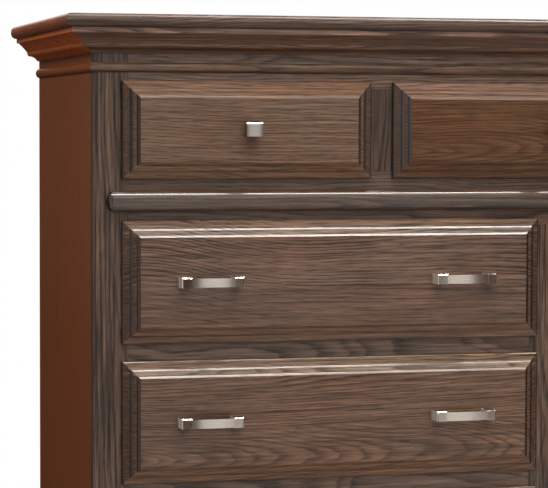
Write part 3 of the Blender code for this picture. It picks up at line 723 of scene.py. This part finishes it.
def makeBox(drawer, seed, pins):
    shape = boxShape
    wall, letIn = shape["wall"], shape["letIn"]
    low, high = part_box(drawer + "_box")
    maple = {}
    for turn, (way, (axes, width)) in enumerate(shape["maple"].items()):
        maple[way] = wood(f"maple_{drawer}_{way}", clearMaple, axes, seed + turn, (low, high), width)
    floor = low.z + shape["raised"]
    boards = [("bottom", (low.x + wall - letIn, low.y + wall - letIn, floor),
               (high.x - wall + letIn, high.y - wall + letIn, floor + shape["bottom"]))]
    for x in (low.x, high.x - wall):
        boards.append(("sides", (x, low.y, low.z), (x + wall, high.y, high.z)))
    for y in (low.y, high.y - wall):
        boards.append(("ends", (low.x + wall, y, low.z), (high.x - wall, y + wall, high.z)))
    parts = []
    for way, nearCorner, farCorner in boards:
        board = boxBetween("board", nearCorner, farCorner)
        easeEdges(board, shape["ease"])
        coat(board, maple[way])
        parts.append(board)
    height = high.z - low.z
    count = int(height / shape["pinEvery"])
    for pin, y in zip(pins, (low.y + wall / 2, high.y - wall / 2)):
        for x in (low.x + wall / 2, high.x - wall / 2):
            for number in range(count):
                copy = copyAt(pin, "pin", (x, y, low.z + (number + 0.5) * height / count))
                coat(copy, maple["ends"])
                parts.append(copy)
    box = smoothed(joinUp(parts, drawer + "_box_boards"))
    place(box, drawer + "_drawer", "drawer_maple", drawer + "_box")


# screw heads inside the box, where the knob and the pulls' feet are
screwShape = {
    "radius": 0.0041, "sides": 28, "thick": 0.0020, "round": 0.0009,
    "cross": (0.0044, 0.0009), "crossDeep": 0.0010, "crossOver": 0.001,
    "spread": {"_knob": (0,), "_outer_pull": (-0.038, 0.038), "_inner_pull": (-0.038, 0.038)},
}


def makeScrew():
    # its head looks back into the drawer
    shape = screwShape
    thick = shape["thick"]
    letGo()
    bpy.ops.mesh.primitive_cylinder_add(vertices=shape["sides"], radius=shape["radius"], depth=thick,
                                        location=(0, thick / 2, 0), rotation=(math.radians(90), 0, 0))
    screw = turnApplied(bpy.context.object)
    pick(screw, "EDGE", lambda edge: all(vert.co.y > thick * 0.9 for vert in edge.verts))
    bpy.ops.mesh.bevel(offset=shape["round"], segments=3, affect="EDGES")
    letGo()
    long, slim = (part / 2 for part in shape["cross"])
    for halfX, halfZ in ((long, slim), (slim, long)):
        slot = boxBetween("slot", (-halfX, thick - shape["crossDeep"], -halfZ),
                          (halfX, thick + shape["crossOver"], halfZ))
        merged(screw, slot, "DIFFERENCE")
    return smoothed(screw, angle=35)


def setScrews(drawer, screw):
    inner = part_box(drawer + "_box")[0].y + boxShape["wall"]
    copies = []
    for ending, offsets in screwShape["spread"].items():
        if drawer + ending in nodes:
            low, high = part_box(drawer + ending)
            middle = (low + high) / 2
            copies += [copyAt(screw, "screw", (middle.x + offset, inner, middle.z)) for offset in offsets]
    for copy in copies:
        coat(copy, pullNickel)
    place(joinUp(copies, drawer + "_screws"), drawer + "_drawer", "brushed_nickel")


pinModels = [makePin(-1), makePin(1)]
screwModel = makeScrew()
for number, drawer in enumerate(topDrawers + wideDrawers):
    makeBox(drawer, boxShape["firstSeed"] + boxShape["seedStep"] * number, pinModels)
    setScrews(drawer, screwModel)
for model in (*pinModels, screwModel):
    bpy.data.objects.remove(model, do_unlink=True)
print("drawer boxes made")


# waist moulding: the CAD shape with its thin triangles merged into clean strips
waistShape = {"merge": 0.00001, "flat": 0.3, "seed": 6.9}


def makeWaist(node):
    waist = copyAt(nodes[node], node + "_shaped", (0, 0, 0))
    takeUp(waist)
    bpy.ops.object.mode_set(mode="EDIT")
    bpy.ops.mesh.select_all(action="SELECT")
    bpy.ops.mesh.remove_doubles(threshold=waistShape["merge"])
    bpy.ops.mesh.dissolve_limited(angle_limit=math.radians(waistShape["flat"]))
    letGo()
    smoothed(waist, angle=34)
    coat(waist, wood("finish_" + node, waistOak, "xzy", waistShape["seed"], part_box(node)))
    place(waist, "case", "stained_oak", node)


makeWaist("waist_moulding")
print("waist moulding made")


# finishes of the CAD boards and mouldings: look, grain axes, seed, and boards in the width if glued up
boardFinish = {
    "top": (slabOak, "xyz", 3.1, 5),
    "crown_front": (crownOak, "xzy", 4.4), "bead_front": (beadOak, "xzy", 5.2),
    "base_front": (railOak, "xzy", 7.7),
    "top_rail": (railOak, "xzy", 8.3), "waist_rail": (waistRailOak, "xzy", 9.9),
    "bottom_rail": (railOak, "xzy", 10.4), "upper_divider": (railOak, "xzy", 11.6),
    "middle_divider": (railOak, "xzy", 12.2),
    "left_stile": (stileOak, "zxy", 13.5), "right_stile": (stileOak, "zxy", 14.1),
    "center_stile": (stileOak, "zxy", 15.8), "mullion_left": (mullionOak, "zxy", 16.6),
    "mullion_right": (mullionOak, "zxy", 17.2),
    "left_side": (sideOak, "zyx", 18.4), "right_side": (sideOak, "zyx", 19.3),
    "crown_left": (sideMould, "yzx", 20.7), "crown_right": (sideMould, "yzx", 21.5),
    "bead_left": (sideOak, "yzx", 22.6), "bead_right": (sideOak, "yzx", 23.8),
    "base_left": (sideOak, "yzx", 24.2), "base_right": (sideOak, "yzx", 25.9),
    "back_panel": (backPly, "zxy", 26.3, 3),
    "waist_dust_panel": (clearMaple, "xyz", 27.1), "case_bottom": (clearMaple, "xyz", 28.5),
}
for node, (look, axes, seed, *boards) in boardFinish.items():
    coat(nodes[node], wood("finish_" + node, look, axes, seed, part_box(node), *boards))
print("boards finished")


# floor, lamps and background
stageSetup = {
    "floorSize": 24.0, "floorCells": 8, "floorColour": (0.80, 0.79, 0.77), "floorShade": 0.985, "floorRough": 0.7,
    "floorFade": (1.25, 1.9),                            # from here to there it runs into the background
    "fill": 0.25,                                        # even light of the room
    # lamps: place, aim, size, power, colour, and what they leave out
    "lamps": (("topLamp", (-0.2, -2.0, 3.45), (0.0, -0.2, 0.65), (3.0, 2.0), 104, (1, 1, 1), "glossy"),
              ("frontLamp", (-0.5, -4.6, 2.3), (0.0, 0.0, 0.6), (2.4, 1.5), 76, (1, 1, 1), "glossy"),
              ("sheenLamp", (0.3, -1.95, 6.0), (0.0, -0.24, 0.6), (5.5, 0.4), 505, (1, 0.93, 0.87), "diffuse"),
              ("sideLamp", (-2.2, 0.2, 2.3), (-0.68, 0.05, 0.7), (0.7, 0.7), 22, (1, 1, 1), "glossy"),
              ("rightLamp", (2.2, 0.2, 2.3), (0.68, 0.05, 0.7), (0.7, 0.7), 22, (1, 1, 1), "glossy"),
              ("backLamp", (0.3, 3.4, 2.6), (0.0, 0.26, 0.5), (2.0, 1.4), 70, (1, 1, 1), "glossy")),
    "darkFrom": (-0.70, -0.76),                          # left of here the floor bounces little light
    # dark cards: lowest and highest corner
    "flags": (("flagFront", (-3.40, -5.51, 0.01), (-0.47, -5.50, 4.0)),
              ("flagAhead", (-3.40, -5.50, 0.001), (-0.47, -3.0, 0.003)),
              ("flagNear", (-2.20, -3.0, 0.001), (-0.52, -1.2, 0.003)),
              ("flagLeft", (-0.905, 0.20, 0.01), (-0.900, 9.0, 4.0)),
              ("flagFloor", (-6.0, -0.60, 0.001), (-0.735, 9.0, 0.003)),
              ("flagBehind", (-0.735, 0.30, 0.001), (0.3, 9.0, 0.003)),
              ("flagRight", (1.60, -4.3, 0.01), (1.61, 9.0, 4.0))),
    "flagColour": (0.10, 0.062, 0.045, 1),
}


def seenBy(tree):
    # rays from the camera, and those that mirror or pass through
    path = put(tree, "ShaderNodeLightPath")
    seen = calc(tree, "MAXIMUM", path.outputs["Is Camera Ray"], path.outputs["Is Glossy Ray"])
    return calc(tree, "MAXIMUM", seen, path.outputs["Is Transmission Ray"])


def makeFloor(setup):
    letGo()
    bpy.ops.mesh.primitive_grid_add(x_subdivisions=setup["floorCells"], y_subdivisions=setup["floorCells"],
                                    size=setup["floorSize"])
    floor = bpy.context.object
    floor.name = "floor"
    material, tree, shader = newMaterial("paleFloor")
    here = objectPlace(tree)
    low = tuple(setup["floorShade"] * part for part in setup["floorColour"])
    colour = blendColour(tree, cloud(tree, here, detail=3.0), low, setup["floorColour"])
    # as with a dark cloth beside the object, its left side gets little light from the floor
    cloth = remap(tree, parted(tree, here)[0], *setup["darkFrom"], smooth=True)
    path = put(tree, "ShaderNodeLightPath")
    cloth = calc(tree, "MULTIPLY", cloth, path.outputs["Is Diffuse Ray"])
    tree.links.new(blendColour(tree, cloth, colour, setup["flagColour"][:3]), shader.inputs["Base Color"])
    shader.inputs["Roughness"].default_value = setup["floorRough"]
    shader.inputs["Specular IOR Level"].default_value = 0
    # away from the object the floor runs into the white background
    away = put(tree, "ShaderNodeVectorMath", operation="LENGTH")
    tree.links.new(here, away.inputs[0])
    fade = remap(tree, away.outputs["Value"], *setup["floorFade"], smooth=True)
    glow = put(tree, "ShaderNodeEmission")
    mix = put(tree, "ShaderNodeMixShader")
    tree.links.new(calc(tree, "MULTIPLY", fade, seenBy(tree)), mix.inputs[0])
    tree.links.new(shader.outputs[0], mix.inputs[1])
    tree.links.new(glow.outputs[0], mix.inputs[2])
    tree.links.new(mix.outputs[0], tree.nodes["Material Output"].inputs[0])
    coat(floor, material)


def makeWorld(setup):
    world = bpy.data.worlds.new("studio")
    scene.world = world
    world.use_nodes = True
    tree = world.node_tree
    tree.nodes.clear()
    fill, white = put(tree, "ShaderNodeBackground"), put(tree, "ShaderNodeBackground")
    for light, strength in ((fill, setup["fill"]), (white, 1)):
        light.inputs[0].default_value = (1, 1, 1, 1)
        light.inputs[1].default_value = strength
    mix = put(tree, "ShaderNodeMixShader")
    tree.links.new(seenBy(tree), mix.inputs[0])
    tree.links.new(fill.outputs[0], mix.inputs[1])
    tree.links.new(white.outputs[0], mix.inputs[2])
    out = put(tree, "ShaderNodeOutputWorld")
    tree.links.new(mix.outputs[0], out.inputs[0])


def makeLamp(name, spot, aim, size, power, colour, leftOut):
    data = bpy.data.lights.new(name, "AREA")
    data.shape = "RECTANGLE"
    data.size, data.size_y = size
    data.energy = power
    data.color = colour
    lamp = bpy.data.objects.new(name, data)
    scene.collection.objects.link(lamp)
    lamp.location = spot
    lamp.rotation_euler = (Vector(aim) - Vector(spot)).to_track_quat("-Z", "Y").to_euler()
    setattr(lamp, "visible_" + leftOut, False)


def makeFlags(setup):
    # dark cards that only show in reflections
    material, _, shader = newMaterial("flagCloth")
    shader.inputs["Base Color"].default_value = setup["flagColour"]
    shader.inputs["Roughness"].default_value = 1
    shader.inputs["Specular IOR Level"].default_value = 0
    for name, low, high in setup["flags"]:
        flag = boxBetween(name, low, high)
        coat(flag, material)
        for rays in ("camera", "diffuse", "shadow", "transmission", "volume_scatter"):
            setattr(flag, "visible_" + rays, False)


makeFloor(stageSetup)
makeWorld(stageSetup)
for lamp in stageSetup["lamps"]:
    makeLamp(*lamp)
makeFlags(stageSetup)
scene.view_settings.view_transform = "Standard"
print("stage set")

letGo()
